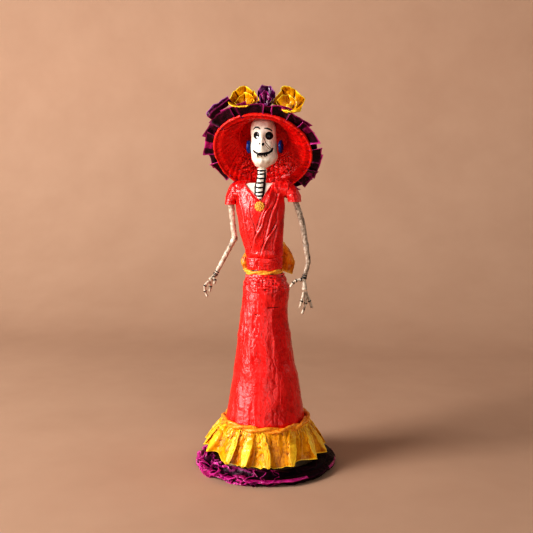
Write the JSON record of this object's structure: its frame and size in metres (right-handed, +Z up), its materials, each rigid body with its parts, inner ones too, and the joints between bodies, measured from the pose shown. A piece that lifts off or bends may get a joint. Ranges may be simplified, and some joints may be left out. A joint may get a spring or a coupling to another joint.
{
  "type": "papier-mache catrina figure",
  "caption": "Standing papier-mache skeleton lady in a long dress and wide pleated hat, on a flat base, with a turning head and wire-hung arms.",
  "frame": {"origin": "centre of the underside of the base disc, on the table", "axes": "+Z up along the figure, -Y towards the viewer in front, +X towards the figure's own left hand"},
  "size_m": [0.1392, 0.1392, 0.3765],
  "materials": {
    "card": "dry grey-brown card",
    "newsprint": "dry newsprint",
    "wire": "plain drawn wire",
    "red_paper": "glossy varnished scarlet paint",
    "purple_paper": "glossy varnished purple paint with magenta high spots",
    "yellow_paper": "glossy varnished golden yellow paint",
    "orange_cord": "painted and varnished twisted cord",
    "bone": "glossy varnished off-white paint with black brush lines",
    "gold_brooch": "glossy painted gold rosette",
    "blue_earring": "glossy cobalt paint"
  },
  "bodies": {
    "figure": {"base_disc": "card", "hem_roll": "purple_paper", "flounce": "yellow_paper", "skirt_band": "orange_cord", "skirt": "red_paper", "skirt_core": "card", "hip_stuffing": "newsprint", "spine_wire": "wire", "torso_core": "newsprint", "bodice": "red_paper", "chest": "bone", "waistband": "red_paper", "belt_cord": "orange_cord", "bow_knot": "yellow_paper", "bow_loop_right": "yellow_paper", "bow_loop_left": "yellow_paper", "brooch": "gold_brooch", "neck": "bone", "shoulder_wire": "wire", "sleeve_right": "red_paper", "sleeve_left": "red_paper"},
    "head": {"skull": "bone", "hat_pad": "newsprint", "hat_crown": "red_paper", "hat_brim": "red_paper", "brim_ruffle": "purple_paper", "hat_leaf": "purple_paper", "flower_yellow_right": "yellow_paper", "flower_purple": "purple_paper", "flower_yellow_left": "yellow_paper", "earring_right": "blue_earring", "earring_left": "blue_earring"},
    "upper_arm_right": {"upper_wire_right": "wire", "upper_arm_right": "bone", "elbow_pin_right": "wire"},
    "forearm_right": {"forearm_wire_right": "wire", "forearm_right": "bone", "palm_right": "bone", "thumb_right": "bone", "index_finger_right": "bone", "middle_finger_right": "bone"},
    "upper_arm_left": {"upper_wire_left": "wire", "upper_arm_left": "bone", "elbow_pin_left": "wire"},
    "forearm_left": {"forearm_wire_left": "wire", "forearm_left": "bone", "palm_left": "bone", "thumb_left": "bone", "index_finger_left": "bone", "middle_finger_left": "bone", "little_finger_left": "bone"}
  },
  "joints": [
    {"name": "head_turn", "type": "hinge", "parent": "figure", "child": "head", "pos_m": [-0.004, 0, 0.311], "axis": [0, 0, 1], "range_deg": [-25, 25]},
    {"name": "shoulder_swing_right", "type": "hinge", "parent": "figure", "child": "upper_arm_right", "pos_m": [-0.0369, 0.003, 0.271], "axis": [1, 0, 0], "range_deg": [-20, 20]},
    {"name": "elbow_bend_right", "type": "hinge", "parent": "upper_arm_right", "child": "forearm_right", "pos_m": [-0.0324, 0, 0.2285], "axis": [0, 1, 0], "range_deg": [-15, 30]},
    {"name": "shoulder_swing_left", "type": "hinge", "parent": "figure", "child": "upper_arm_left", "pos_m": [0.0272, 0.003, 0.271], "axis": [1, 0, 0], "range_deg": [-20, 20]},
    {"name": "elbow_bend_left", "type": "hinge", "parent": "upper_arm_left", "child": "forearm_left", "pos_m": [0.0396, -0.003, 0.223], "axis": [0, -1, 0], "range_deg": [-3, 30]}
  ]
}
